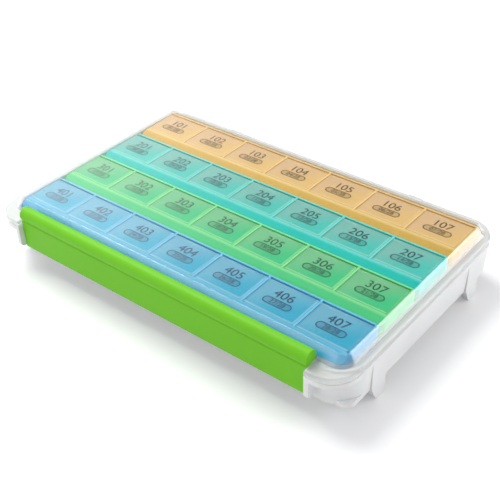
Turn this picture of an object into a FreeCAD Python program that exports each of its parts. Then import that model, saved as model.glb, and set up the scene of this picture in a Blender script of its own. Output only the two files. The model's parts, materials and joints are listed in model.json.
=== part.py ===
"""Monthly pill organizer: a footed tray with a clear hinged cover, a full-width latch,
four lift-out weekly boxes and twenty-eight flip lids.

Millimetres. +Z is up, +X runs along the seven columns, -Y is the latch side.
The origin is the centre of the footprint, on the surface that the feet stand on.
"""
import os

import FreeCAD
import Part
from FreeCAD import Vector

# Compartment grid
columns = 7
rows = 4
column_pitch = 29.0
row_pitch = 29.92

# Weekly boxes
box_height = 20.9
box_wall = 1.1
box_floor = 1.2
box_corner_radius = 3.0
box_side_gap = 0.2
box_row_gap = 0.42
box_lift_gap = 0.1
band_depth = 5.83
band_drop = 3.0
band_thickness = 1.35
shelf_depth = 1.2
shelf_thickness = 1.15
rear_ledge_depth = 2.7
rear_ledge_thickness = 1.2
rear_ledge_chamfer = 1.6
box_end_chamfer = 1.3

# Flip lids
flip_thickness = 1.4
flip_side_gap = 0.2
flip_front_gap = 0.3
flip_rest_gap = 0.05
flip_corner_radius = 0.8
flip_edge_chamfer = 0.25
flip_barrel_radius = 1.3
flip_axis_depth = 1.2
flip_axis_to_ledge = 1.85
flip_peg_radius = 0.75
flip_peg_bite = 0.45
peg_clearance = 0.05
socket_depth = 0.6

# Tray
leg_height = 8.2
tray_floor = 1.8
tray_wall = 2.0
tray_wall_side_margin = 7.1
tray_wall_front_margin = 5.2
tray_wall_rear_margin = 7.12
tray_wall_draft = 0.9
tray_corner_radius = 14.0
plinth_height = 2.8
plinth_front_margin = 2.8
plinth_corner_radius = 4.6
rim_height = 3.1
rim_drop = 5.4
rim_side_margin = 7.45
rim_front_margin = 11.4
rim_rear_margin = 7.37
rim_corner_radius = 14.5
rim_edge_radius = 0.5
tongue_thickness = 0.9
tongue_height = 1.2
rib_thickness = 1.2
rib_height = 12.0
rib_gap = 0.3

# Legs
leg_thickness = 3.4
leg_width = 6.8
leg_flare = 4.0
leg_side_margin = 7.25
leg_pad_thickness = 1.6
leg_toe_radius = 2.4
front_leg_setback = 17.1
rear_leg_setback = 12.5

# Front recess and its ears
recess_side_inset = 18.65
recess_front_margin = 6.5
ear_thickness = 2.3
ear_drop = 9.6
ear_toe = 1.3

# Cover
cover_gap = 0.1
cover_skin = 1.5
cover_headroom = 1.1
flange_height = 3.0
flange_edge_radius = 0.9
lip_clearance = 0.3
bevel_wall = 1.8
plateau_foot_side_margin = 4.2
plateau_foot_front_margin = 3.3
plateau_foot_rear_margin = 3.52
plateau_foot_radius = 8.0
plateau_top_side_margin = 0.7
plateau_top_front_margin = -1.55
plateau_top_rear_margin = -1.08
plateau_top_radius = 4.0
plateau_edge_radius = 0.8
front_rail_depth = 4.4

# Latch
bead_radius = 3.7
bead_proud = 0.6
bead_clearance = 0.3
rail_floor = 1.3
latch_gap = 0.3
panel_thickness = 1.8
panel_drop = 19.4
panel_toe_radius = 0.8
groove_width = 1.5
groove_depth = 0.35
groove_taper = 0.5
catch_height = 1.6
catch_bite = 0.15
catch_gap = 0.3
lug_count = 4
lug_pitch = 45.0
lug_width = 5.0
lug_radius = 2.3
lug_arm_width = 2.0
lug_mouth = 2.0
lug_side_gap = 0.3
latch_pin_radius = 1.2
latch_pin_clearance = 0.05
notch_start_angle = -125.0
notch_end_angle = 50.0

# Rear hinge
hinge_spacing = 120.0
hinge_axis_margin = 8.52
hinge_axis_below_rim = 1.2
knuckle_radius = 2.2
knuckle_clearance = 0.3
hinge_lug_width = 8.0
hinge_ear_width = 4.7
hinge_side_gap = 0.3
hinge_peg_radius = 1.1
hinge_peg_bite = 4.1
hinge_peg_clearance = 0.05
hinge_arm_height = 1.7
hinge_arm_overrun = 0.6
hinge_arm_root = 0.8
gusset_height = 5.8
gusset_reach = 0.5

# Places worked out from the sizes above
grid_width = columns * column_pitch
grid_depth = rows * row_pitch
case_depth = rim_front_margin + grid_depth + hinge_axis_margin + knuckle_radius
grid_left = -grid_width / 2
grid_right = grid_width / 2
grid_front = rim_front_margin - case_depth / 2
grid_rear = grid_front + grid_depth

floor_top = leg_height + tray_floor
box_bottom = floor_top + box_lift_gap
box_top = box_bottom + box_height
rim_top = box_top - rim_drop
rim_bottom = rim_top - rim_height
cover_bottom = rim_top + cover_gap
flange_top = cover_bottom + flange_height
flange_underside = flange_top - cover_skin
plateau_underside = box_top + cover_headroom
plateau_top = plateau_underside + cover_skin

rim_side = grid_right + rim_side_margin
rim_front = grid_front - rim_front_margin
rim_rear = grid_rear + rim_rear_margin
recess_face = grid_front - recess_front_margin
recess_half_width = rim_side - recess_side_inset
ear_half_width = recess_half_width + ear_thickness
rail_rear = recess_face + front_rail_depth

latch_half_length = recess_half_width - latch_gap
panel_inner = recess_face - latch_gap
panel_outer = panel_inner - panel_thickness
bead_y = panel_outer - bead_proud + bead_radius
trough_radius = bead_radius + bead_clearance
bead_z = cover_bottom + rail_floor + trough_radius

hinge_y = grid_rear + hinge_axis_margin
hinge_z = rim_top - hinge_axis_below_rim

flip_axis_z = box_top - flip_axis_depth

# Cutting tools run past what they cut, and a cylinder sector about X starts at +Z
overrun = 5.0
end_chamfer_angle = 45.0
sector_zero_angle = 90.0


def outline(side, front, rear, radius, z):
    """Closed wire at height z: the grid's rectangle grown by margins, with round corners."""
    left = grid_left - side
    right = grid_right + side
    low = grid_front - front
    high = grid_rear + rear
    bend = radius * (1 - 0.5 ** 0.5)
    points = [
        (left + radius, low), (right - radius, low), (right - bend, low + bend),
        (right, low + radius), (right, high - radius), (right - bend, high - bend),
        (right - radius, high), (left + radius, high), (left + bend, high - bend),
        (left, high - radius), (left, low + radius), (left + bend, low + bend),
    ]
    corners = [Vector(x, y, z) for x, y in points]
    edges = []
    for start in range(0, len(corners), 3):
        line_start, line_end, middle = corners[start:start + 3]
        arc_end = corners[(start + 3) % len(corners)]
        edges.append(Part.LineSegment(line_start, line_end).toShape())
        edges.append(Part.Arc(line_end, middle, arc_end).toShape())
    return Part.Wire(edges)


def prism(wire, height):
    """Solid of the given height above a flat closed wire."""
    return Part.Face(wire).extrude(Vector(0, 0, height))


def loft(low_wire, high_wire):
    """Solid with straight rulings between two matching wires."""
    return Part.makeLoft([low_wire, high_wire], True, True)


def block(low, high):
    """Box between two corner points."""
    size = [b - a for a, b in zip(low, high)]
    return Part.makeBox(size[0], size[1], size[2], Vector(*low))


def rod(radius, start, length):
    """Cylinder along +X from a start point."""
    return Part.makeCylinder(radius, length, Vector(*start), Vector(1, 0, 0))


def bar_x(profile, x_low, x_high):
    """Solid with a (y, z) polygon as its section, from x_low to x_high."""
    points = [Vector(x_low, y, z) for y, z in profile]
    face = Part.Face(Part.makePolygon(points + points[:1]))
    return face.extrude(Vector(x_high - x_low, 0, 0))


def mirrored(shape):
    """The shape and its mirror image in the plane x = 0."""
    return [shape, shape.mirror(Vector(0, 0, 0), Vector(1, 0, 0))]


def level_edges(shape, z):
    """Edges that lie wholly at height z."""
    return [edge for edge in shape.Edges
            if abs(edge.BoundBox.ZMin - z) < 1e-6 and abs(edge.BoundBox.ZMax - z) < 1e-6]


def row_front(row):
    """Front boundary of a row, where row 0 is next to the latch."""
    return grid_front + row * row_pitch


def column_line(index):
    """Boundary between columns, where 0 is the left edge of the grid."""
    return grid_left + index * column_pitch


def rim_band(z_low, height):
    """Band with the outline that the tray's rim and the cover's flange share."""
    band = prism(outline(rim_side_margin, rim_front_margin, rim_rear_margin,
                         rim_corner_radius, z_low), height)
    recess = block((-recess_half_width, rim_front - overrun, z_low - overrun),
                   (recess_half_width, recess_face, z_low + height + overrun))
    return band.cut(recess)


def cavity_wire(grow, z):
    """Inner wall line of the tray's opening, grown by a distance."""
    inset = tray_wall - grow
    return outline(tray_wall_side_margin - inset, tray_wall_front_margin - inset,
                   tray_wall_rear_margin - inset, tray_corner_radius - inset, z)


def tray_shell():
    """Drafted wall, rim, plinth and tongue around an open cavity."""
    low_wire = outline(tray_wall_side_margin - tray_wall_draft,
                       tray_wall_front_margin - tray_wall_draft,
                       tray_wall_rear_margin - tray_wall_draft,
                       tray_corner_radius - tray_wall_draft, leg_height)
    high_wire = outline(tray_wall_side_margin, tray_wall_front_margin,
                        tray_wall_rear_margin, tray_corner_radius, rim_bottom)
    plinth = prism(outline(tray_wall_side_margin - tray_wall_draft, plinth_front_margin,
                           tray_wall_rear_margin - tray_wall_draft,
                           plinth_corner_radius, leg_height), plinth_height)
    rear_corners = prism(outline(tray_wall_side_margin - tray_wall_draft,
                                 plinth_front_margin + tray_corner_radius,
                                 tray_wall_rear_margin - tray_wall_draft,
                                 tray_corner_radius - tray_wall_draft, leg_height),
                         plinth_height)
    plinth = plinth.common(rear_corners)
    rim = rim_band(rim_bottom, rim_height)
    rounded = level_edges(rim, rim_top) + level_edges(rim, rim_bottom)
    rim = rim.makeFillet(rim_edge_radius, rounded)
    shell = loft(low_wire, high_wire).fuse([plinth, rim])

    tongue = prism(cavity_wire(tongue_thickness, rim_top - rim_edge_radius),
                   tongue_height + rim_edge_radius)
    front_gap = block((-ear_half_width - lip_clearance, rim_front, rim_top),
                      (ear_half_width + lip_clearance, rail_rear, plateau_top))
    shell = shell.fuse(tongue.cut(front_gap))

    draft_over_cavity = tray_wall_draft * (rim_bottom - floor_top) / (rim_bottom - leg_height)
    well = loft(cavity_wire(-draft_over_cavity, floor_top), cavity_wire(0, rim_bottom))
    mouth = prism(cavity_wire(0, rim_bottom), rim_height + tongue_height + overrun)
    return shell.cut(well.fuse(mouth))


def leg(front_y):
    """One right-hand leg: a foot flared to the front and a flat pad up the outside wall."""
    outer = grid_right + leg_side_margin
    rear_y = front_y + leg_width
    flared_y = front_y - leg_flare
    profile = [(front_y, 0), (rear_y, 0), (rear_y, floor_top), (flared_y, floor_top),
               (flared_y, leg_height)]
    foot = bar_x(profile, outer - leg_thickness, outer)
    toes = [edge for edge in level_edges(foot, 0) if edge.BoundBox.XLength > leg_thickness / 2]
    foot = foot.makeFillet(leg_toe_radius, toes)
    pad = block((outer - leg_pad_thickness, flared_y, leg_height),
                (outer, rear_y, rim_bottom + rim_edge_radius))
    return foot.fuse(pad)


def front_ear():
    """Right-hand ear beside the latch recess, from the rim down."""
    low = rim_bottom - ear_drop
    root = grid_front - tray_wall_front_margin + tray_wall
    profile = [(root, low), (rim_front + ear_toe, low), (rim_front, low + ear_toe),
               (rim_front, rim_bottom + rim_edge_radius), (root, rim_bottom + rim_edge_radius)]
    return bar_x(profile, recess_half_width, ear_half_width)


def locating_ribs():
    """Ribs on the inside walls that keep the weekly boxes in place."""
    top = floor_top + rib_height
    half = rib_thickness / 2
    box_end = grid_right - box_side_gap
    wall_x = grid_right + tray_wall_side_margin - tray_wall
    ribs = []
    for row in range(1, rows):
        y = row_front(row)
        rib = block((box_end + rib_gap, y - half, floor_top - half),
                    (wall_x + half, y + half, top))
        ribs.extend(mirrored(rib))
    front_face = grid_front + box_row_gap / 2 - rib_gap
    front_wall = grid_front - tray_wall_front_margin + tray_wall
    rear_face = grid_rear - box_row_gap / 2 + rib_gap
    rear_wall = grid_rear + tray_wall_rear_margin - tray_wall
    for index in range(1, columns, 2):
        x = column_line(index) + column_pitch / 2
        ribs.append(block((x - half, front_wall - half, floor_top - half),
                          (x + half, front_face, top)))
        ribs.append(block((x - half, rear_face, floor_top - half),
                          (x + half, rear_wall + half, top)))
    return ribs


def hinge_centres():
    """x of each rear hinge group."""
    return [-hinge_spacing / 2, hinge_spacing / 2]


def hinge_ear_starts(centre):
    """x where each of a group's two tray ears starts."""
    inner = hinge_lug_width / 2 + hinge_side_gap
    return [centre - inner - hinge_ear_width, centre + inner]


def tray_hinge_ears():
    """Knuckles and gussets on the tray's rear wall."""
    ears = []
    wall_y = grid_rear + tray_wall_rear_margin - tray_wall / 2
    gusset = [(wall_y, hinge_z - knuckle_radius - gusset_height + gusset_reach),
              (hinge_y + gusset_reach, hinge_z - knuckle_radius + gusset_reach),
              (hinge_y, hinge_z), (wall_y, hinge_z)]
    for centre in hinge_centres():
        for start in hinge_ear_starts(centre):
            ears.append(rod(knuckle_radius, (start, hinge_y, hinge_z), hinge_ear_width))
            ears.append(bar_x(gusset, start, start + hinge_ear_width))
    return ears


def case_tray():
    """The frosted tray."""
    tray = tray_shell()
    front_leg = leg(grid_front + front_leg_setback)
    rear_leg = leg(grid_rear - rear_leg_setback - leg_width)
    legs = mirrored(front_leg) + mirrored(rear_leg)
    tray = tray.fuse(legs + mirrored(front_ear()) + locating_ribs())
    sweep_radius = knuckle_radius + knuckle_clearance
    sweep_width = hinge_lug_width + 2 * hinge_side_gap
    sweeps = [rod(sweep_radius, (centre - sweep_width / 2, hinge_y, hinge_z), sweep_width)
              for centre in hinge_centres()]
    tray = tray.cut(sweeps).fuse(tray_hinge_ears())
    bore_radius = hinge_peg_radius + hinge_peg_clearance
    bores = [rod(bore_radius, (start, hinge_y, hinge_z), hinge_ear_width)
             for centre in hinge_centres() for start in hinge_ear_starts(centre)]
    return tray.cut(bores)


def cover_cavity():
    """Space under the cover: the plateau's inside and the rebate for the tray's tongue."""
    bevel_height = plateau_top - flange_top
    below = (flange_top - flange_underside) / bevel_height
    above = (plateau_underside - flange_top) / bevel_height

    def inner(foot, top, share):
        return foot + (top - foot) * share - bevel_wall

    def wire(share, front_margin, z):
        side = inner(plateau_foot_side_margin, plateau_top_side_margin, share)
        rear = inner(plateau_foot_rear_margin, plateau_top_rear_margin, share)
        radius = inner(plateau_foot_radius, plateau_top_radius, share)
        return outline(side, front_margin, rear, radius, z)

    low_front = -(rail_rear - grid_front)
    high_front = inner(plateau_foot_front_margin, plateau_top_front_margin, above)
    low = wire(-below, low_front, flange_underside)
    high = wire(above, high_front, plateau_underside)
    skirt = prism(wire(-below, low_front, cover_bottom - overrun),
                  flange_underside - cover_bottom + overrun)
    rebate = prism(cavity_wire(tongue_thickness + lip_clearance, cover_bottom - overrun),
                   flange_underside - cover_bottom + overrun)
    rail = block((-ear_half_width, rim_front, cover_bottom - overrun),
                 (ear_half_width, rail_rear, plateau_top))
    return loft(low, high).fuse([skirt, rebate.cut(rail)])


def lug_centres():
    """x of each latch lug."""
    first = -lug_pitch * (lug_count - 1) / 2
    return [first + lug_pitch * index for index in range(lug_count)]


def latch_lug(centre):
    """Open-topped clip that stands on the front rail and holds the latch's pin."""
    start = centre - lug_width / 2
    ring = rod(lug_radius, (start, bead_y, bead_z), lug_width)
    arm = block((start, bead_y - lug_arm_width / 2, cover_bottom + rail_floor / 2),
                (start + lug_width, bead_y + lug_arm_width / 2, bead_z))
    bore = rod(latch_pin_radius + latch_pin_clearance, (start, bead_y, bead_z), lug_width)
    mouth = block((start, bead_y - lug_mouth / 2, bead_z),
                  (start + lug_width, bead_y + lug_mouth / 2, bead_z + trough_radius))
    return ring.fuse(arm).cut([bore, mouth])


def cover_hinge_lug(centre):
    """Knuckle on the cover's rear edge with a peg on each side."""
    start = centre - hinge_lug_width / 2
    knuckle = rod(knuckle_radius, (start, hinge_y, hinge_z), hinge_lug_width)
    arm = block((start, rim_rear - hinge_arm_root, cover_bottom),
                (start + hinge_lug_width, hinge_y + hinge_arm_overrun,
                 cover_bottom + hinge_arm_height))
    reach = hinge_side_gap + hinge_peg_bite
    pegs = rod(hinge_peg_radius, (start - reach, hinge_y, hinge_z),
               hinge_lug_width + 2 * reach)
    return knuckle.fuse([arm, pegs])


def case_lid():
    """The clear cover."""
    flange = rim_band(cover_bottom, flange_height)
    flange = flange.makeFillet(flange_edge_radius, level_edges(flange, flange_top))
    foot = outline(plateau_foot_side_margin, plateau_foot_front_margin,
                   plateau_foot_rear_margin, plateau_foot_radius, flange_top)
    top = outline(plateau_top_side_margin, plateau_top_front_margin,
                  plateau_top_rear_margin, plateau_top_radius, plateau_top)
    plateau = loft(foot, top)
    plateau = plateau.makeFillet(plateau_edge_radius, level_edges(plateau, plateau_top))
    core = prism(outline(plateau_foot_side_margin, plateau_foot_front_margin,
                         plateau_foot_rear_margin, plateau_foot_radius, flange_underside),
                 flange_top - flange_underside)
    cover = flange.fuse([core, plateau]).cut(cover_cavity())

    trough = rod(trough_radius, (-recess_half_width, bead_y, bead_z), 2 * recess_half_width)
    ear_sweeps = [rod(knuckle_radius + knuckle_clearance,
                      (start - hinge_side_gap, hinge_y, hinge_z),
                      hinge_ear_width + 2 * hinge_side_gap)
                  for centre in hinge_centres() for start in hinge_ear_starts(centre)]
    cover = cover.cut([trough] + ear_sweeps)
    lugs = [latch_lug(centre) for centre in lug_centres()]
    hinge_lugs = [cover_hinge_lug(centre) for centre in hinge_centres()]
    return cover.fuse(lugs + hinge_lugs).removeSplitter()


def bead_notch(centre):
    """Space that one lug needs inside the bead, with the pin left standing."""
    width = lug_width + 2 * lug_side_gap
    start = Vector(centre - width / 2, bead_y, bead_z)
    along = Vector(1, 0, 0)
    sector = Part.makeCylinder(trough_radius, width, start, along,
                               notch_end_angle - notch_start_angle)
    sector.rotate(start, along, notch_start_angle - sector_zero_angle)
    ring = Part.makeCylinder(lug_radius + lug_side_gap, width, start, along)
    pin = Part.makeCylinder(latch_pin_radius, width, start, along)
    return sector.fuse(ring).cut(pin)


def panel_groove():
    """Shallow groove along the panel's face, right under the bead."""
    top = bead_z - (bead_radius ** 2 - (bead_radius - bead_proud) ** 2) ** 0.5
    low = top - groove_width
    profile = [(panel_outer - groove_depth, low), (panel_outer, low),
               (panel_outer + groove_depth, low + groove_taper),
               (panel_outer + groove_depth, top - groove_taper),
               (panel_outer, top), (panel_outer - groove_depth, top)]
    return bar_x(profile, -latch_half_length - overrun, latch_half_length + overrun)


def latch_bar():
    """The green latch: a round bead with a hanging panel and a low catch."""
    length = 2 * latch_half_length
    bead = rod(bead_radius, (-latch_half_length, bead_y, bead_z), length)
    low = bead_z - panel_drop
    panel = block((-latch_half_length, panel_outer, low),
                  (latch_half_length, panel_inner, bead_z))
    toes = [edge for edge in level_edges(panel, low) if edge.BoundBox.XLength > length / 2]
    panel = panel.makeFillet(panel_toe_radius, toes)
    catch_top = rim_bottom - catch_gap
    catch = bar_x([(panel_inner - catch_bite, catch_top - catch_height),
                   (panel_inner - catch_bite, catch_top),
                   (panel_inner, catch_top),
                   (panel_inner + catch_bite, catch_top - catch_height / 2),
                   (panel_inner, catch_top - catch_height)],
                  -latch_half_length, latch_half_length)
    latch = bead.fuse([panel, catch])
    grooved = [bead_notch(centre) for centre in lug_centres()] + [panel_groove()]
    return latch.cut(grooved).removeSplitter()


def weekly_box(row):
    """One lift-out box: seven compartments under a sloped front band and a rear ledge."""
    row_low = row_front(row)
    front = row_low + box_row_gap / 2
    rear = row_low + row_pitch - box_row_gap / 2
    end = grid_right - box_side_gap
    body = block((-end, front, box_bottom), (end, rear, box_top))
    uprights = [edge for edge in body.Edges if edge.BoundBox.ZLength > box_height / 2]
    body = body.makeFillet(box_corner_radius, uprights)

    band_rear = row_low + band_depth
    ledge_front = row_low + row_pitch - rear_ledge_depth
    band_front_z = box_top - band_drop
    slope = band_drop / (band_rear - front)
    slope_cut = bar_x([(front - overrun, band_front_z - overrun * slope),
                       (band_rear, box_top), (front - overrun, box_top + overrun)],
                      -end - overrun, end + overrun)
    chamfer_cut = bar_x([(rear - rear_ledge_chamfer, box_top), (rear + overrun, box_top),
                         (rear + overrun, box_top - rear_ledge_chamfer - overrun)],
                        -end - overrun, end + overrun)
    end_cut = Part.makeBox(overrun, row_pitch, overrun * 2, Vector(0, front, -overrun))
    end_cut.rotate(Vector(0, 0, 0), Vector(0, 1, 0), -end_chamfer_angle)
    end_cut.translate(Vector(end - box_end_chamfer / 2, 0, box_top - box_end_chamfer / 2))
    body = body.cut([slope_cut, chamfer_cut] + mirrored(end_cut))

    inner_front = front + box_wall
    inner_rear = rear - box_wall
    shelf_top = box_top - flip_thickness - flip_rest_gap
    shelf_low = shelf_top - shelf_thickness
    band_low = band_front_z + box_wall * slope - band_thickness
    shelf_start = inner_front + (shelf_low - band_low) / slope
    cell = [(inner_front, box_bottom + box_floor), (inner_rear, box_bottom + box_floor),
            (inner_rear, box_top - rear_ledge_thickness),
            (ledge_front, box_top - rear_ledge_thickness), (ledge_front, box_top + overrun),
            (band_rear, box_top + overrun), (band_rear, shelf_top),
            (band_rear + shelf_depth, shelf_top), (band_rear + shelf_depth, shelf_low),
            (shelf_start, shelf_low), (inner_front, band_low)]
    cells = []
    for column in range(columns):
        left = column_line(column) + box_wall / 2
        right = column_line(column + 1) - box_wall / 2
        if column == 0:
            left = -end + box_wall
        if column == columns - 1:
            right = end - box_wall
        cells.append(bar_x(cell, left, right))

    axis_y = ledge_front - flip_axis_to_ledge
    socket_radius = flip_peg_radius + peg_clearance
    inner_line = end - box_wall
    reach = 2 * (inner_line + socket_depth)
    sockets = rod(socket_radius, (-reach / 2, axis_y, flip_axis_z), reach)
    return body.cut(cells + [sockets]).removeSplitter()


def flip_lid(row, column):
    """One flip lid: a flat plate with a hinge barrel and two pegs."""
    row_low = row_front(row)
    left = column_line(column) + box_wall / 2 + flip_side_gap
    right = column_line(column + 1) - box_wall / 2 - flip_side_gap
    if column == 0:
        left = grid_left + box_side_gap + box_wall + flip_side_gap
    if column == columns - 1:
        right = grid_right - box_side_gap - box_wall - flip_side_gap
    front = row_low + band_depth + flip_front_gap
    axis_y = row_low + row_pitch - rear_ledge_depth - flip_axis_to_ledge
    plate = block((left, front, box_top - flip_thickness), (right, axis_y, box_top))
    corners = [edge for edge in plate.Edges
               if edge.BoundBox.ZLength > flip_thickness / 2 and edge.BoundBox.YMax < axis_y - 1]
    plate = plate.makeFillet(flip_corner_radius, corners)
    rim = [edge for edge in level_edges(plate, box_top) if edge.BoundBox.YMin < axis_y - 1]
    plate = plate.makeChamfer(flip_edge_chamfer, rim)
    barrel = rod(flip_barrel_radius, (left, axis_y, flip_axis_z), right - left)
    reach = flip_side_gap + flip_peg_bite
    pegs = rod(flip_peg_radius, (left - reach, axis_y, flip_axis_z), right - left + 2 * reach)
    return plate.fuse([barrel, pegs]).removeSplitter()


def all_pieces():
    """Every piece by its name. Week 1 is the rear row, as the rows are read from the top."""
    pieces = {
        "case_tray": case_tray(),
        "case_lid": case_lid(),
        "latch_bar": latch_bar(),
    }
    for row in range(rows):
        week = rows - row
        pieces[f"week_{week}_box"] = weekly_box(row)
        for column in range(columns):
            pieces[f"week_{week}_lid_{column + 1}"] = flip_lid(row, column)
    return pieces


def main():
    """Write one STEP file per piece."""
    os.makedirs("parts", exist_ok=True)
    for name, shape in all_pieces().items():
        assert shape.isValid(), name
        assert len(shape.Solids) == 1, f"{name} has {len(shape.Solids)} solids"
        solid = shape.Solids[0]
        solid.exportStep(f"parts/{name}.step")
        box = solid.BoundBox
        print(f"{name}: {solid.Volume / 1000:.2f} cm3, x {box.XMin:.2f} {box.XMax:.2f}, "
              f"y {box.YMin:.2f} {box.YMax:.2f}, z {box.ZMin:.2f} {box.ZMax:.2f}")


if __name__ == "__main__":
    main()
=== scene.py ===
"""Looks of the monthly pill organizer: plastics, printed marks, light and camera."""
import json
import logging
import math
from dataclasses import dataclass
from enum import Enum

import bmesh
import bpy
from mathutils import Matrix, Vector

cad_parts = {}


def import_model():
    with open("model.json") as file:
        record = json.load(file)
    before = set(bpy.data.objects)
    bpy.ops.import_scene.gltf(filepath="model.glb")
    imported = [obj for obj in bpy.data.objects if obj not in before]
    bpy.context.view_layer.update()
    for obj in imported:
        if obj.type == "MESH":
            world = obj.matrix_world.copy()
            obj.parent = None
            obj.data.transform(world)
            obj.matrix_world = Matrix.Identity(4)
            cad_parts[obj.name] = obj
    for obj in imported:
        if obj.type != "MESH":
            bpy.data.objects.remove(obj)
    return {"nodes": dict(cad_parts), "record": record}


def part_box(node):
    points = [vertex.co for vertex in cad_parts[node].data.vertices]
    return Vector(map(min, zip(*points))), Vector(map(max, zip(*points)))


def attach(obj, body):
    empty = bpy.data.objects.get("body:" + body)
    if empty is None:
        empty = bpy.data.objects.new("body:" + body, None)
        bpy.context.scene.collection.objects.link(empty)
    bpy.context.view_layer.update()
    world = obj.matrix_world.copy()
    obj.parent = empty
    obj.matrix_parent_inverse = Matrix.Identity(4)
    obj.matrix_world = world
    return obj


LOG = logging.getLogger("pill_organizer")
MM = 0.001
PLASTIC_IOR = 1.49
Colour = tuple[float, float, float]
Socket = bpy.types.NodeSocket


def linear(red: int, green: int, blue: int) -> Colour:
    """Turn a screen colour into the scene's linear one.

    Args:
        red: Red from 0 to 255.
        green: Green from 0 to 255.
        blue: Blue from 0 to 255.

    Returns:
        The same colour with linear channels from 0 to 1.
    """
    def channel(value: int) -> float:
        """One linear channel."""
        share = value / 255
        return share / 12.92 if share <= 0.04045 else ((share + 0.055) / 1.055) ** 2.4
    return channel(red), channel(green), channel(blue)


class Week(Enum):
    """The four weekly boxes, from the rear row to the row beside the latch."""

    FIRST = 1
    SECOND = 2
    THIRD = 3
    FOURTH = 4


@dataclass(frozen=True)
class Organizer:
    """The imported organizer: its pieces and the finishes that the record names.

    Attributes:
        nodes: Objects of the carried-over pieces, by name.
        slots: The record's material slot of each piece.
    """

    nodes: dict[str, bpy.types.Object]
    slots: dict[str, str]

    @classmethod
    def loaded(cls) -> "Organizer":
        """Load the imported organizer.

        Returns:
            Its pieces and slots.
        """
        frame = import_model()
        slots = {part["node"]: part["material_slot"] for part in frame["record"]["subparts"]}
        return cls(frame["nodes"], slots)

    def dress(self, name: str, material: bpy.types.Material) -> None:
        """Give a carried-over piece its material.

        Args:
            name: The piece's name.
            material: Its finish.
        """
        node = self.nodes[name]
        for slot in node.material_slots:
            slot.material = material
        if not node.material_slots:
            node.data.materials.append(material)
        LOG.info("%s: %s", name, material.name)

    def soften(self, name: str, width: float, angle: float = 38.0) -> None:
        """Round a carried-over piece's sharp edges, as its mould does.

        Args:
            name: The piece's name.
            width: Width of the rounding.
            angle: Smallest angle between two faces that is rounded, in degrees.
        """
        weld = self.nodes[name].modifiers.new("joined", "WELD")
        weld.merge_threshold = 0.002 * MM
        bevel = self.nodes[name].modifiers.new("mould_edges", "BEVEL")
        bevel.width = width
        bevel.segments = 2
        bevel.limit_method = "ANGLE"
        bevel.angle_limit = math.radians(angle)
        bevel.harden_normals = True


class NodeTree:
    """A node tree, with short calls to add and join nodes."""

    def __init__(self, tree: bpy.types.NodeTree) -> None:
        """Work on a tree."""
        self.tree = tree

    def node(self, kind: str, options: dict[str, str] | None = None,
             **inputs: object) -> bpy.types.Node:
        """Add a node, choose its options and give its inputs.

        Args:
            kind: Blender's node type.
            options: Blender's names of its chosen options.
            **inputs: Values or sockets by input name, with underscores for spaces.

        Returns:
            The new node.
        """
        node = self.tree.nodes.new(kind)
        for key, choice in (options or {}).items():
            setattr(node, key, choice)
        for key, value in inputs.items():
            self.fill(node.inputs[key.replace("_", " ")], value)
        return node

    def fill(self, given: Socket, value: object) -> None:
        """Link a socket to an input, or set the input to a value.

        Args:
            given: The input.
            value: The socket or the value.
        """
        if isinstance(value, Socket):
            self.tree.links.new(value, given)
        else:
            given.default_value = value

    def maths(self, kind: str, first: Socket, second: Socket | float = 0.0) -> Socket:
        """One sum on values.

        Args:
            kind: Blender's name of the operation.
            first: First value's socket.
            second: Second value, or its socket.

        Returns:
            The result's socket.
        """
        result = self.node("ShaderNodeMath", {"operation": kind})
        for given, value in zip(result.inputs, (first, second)):
            self.fill(given, value)
        return result.outputs[0]


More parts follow.
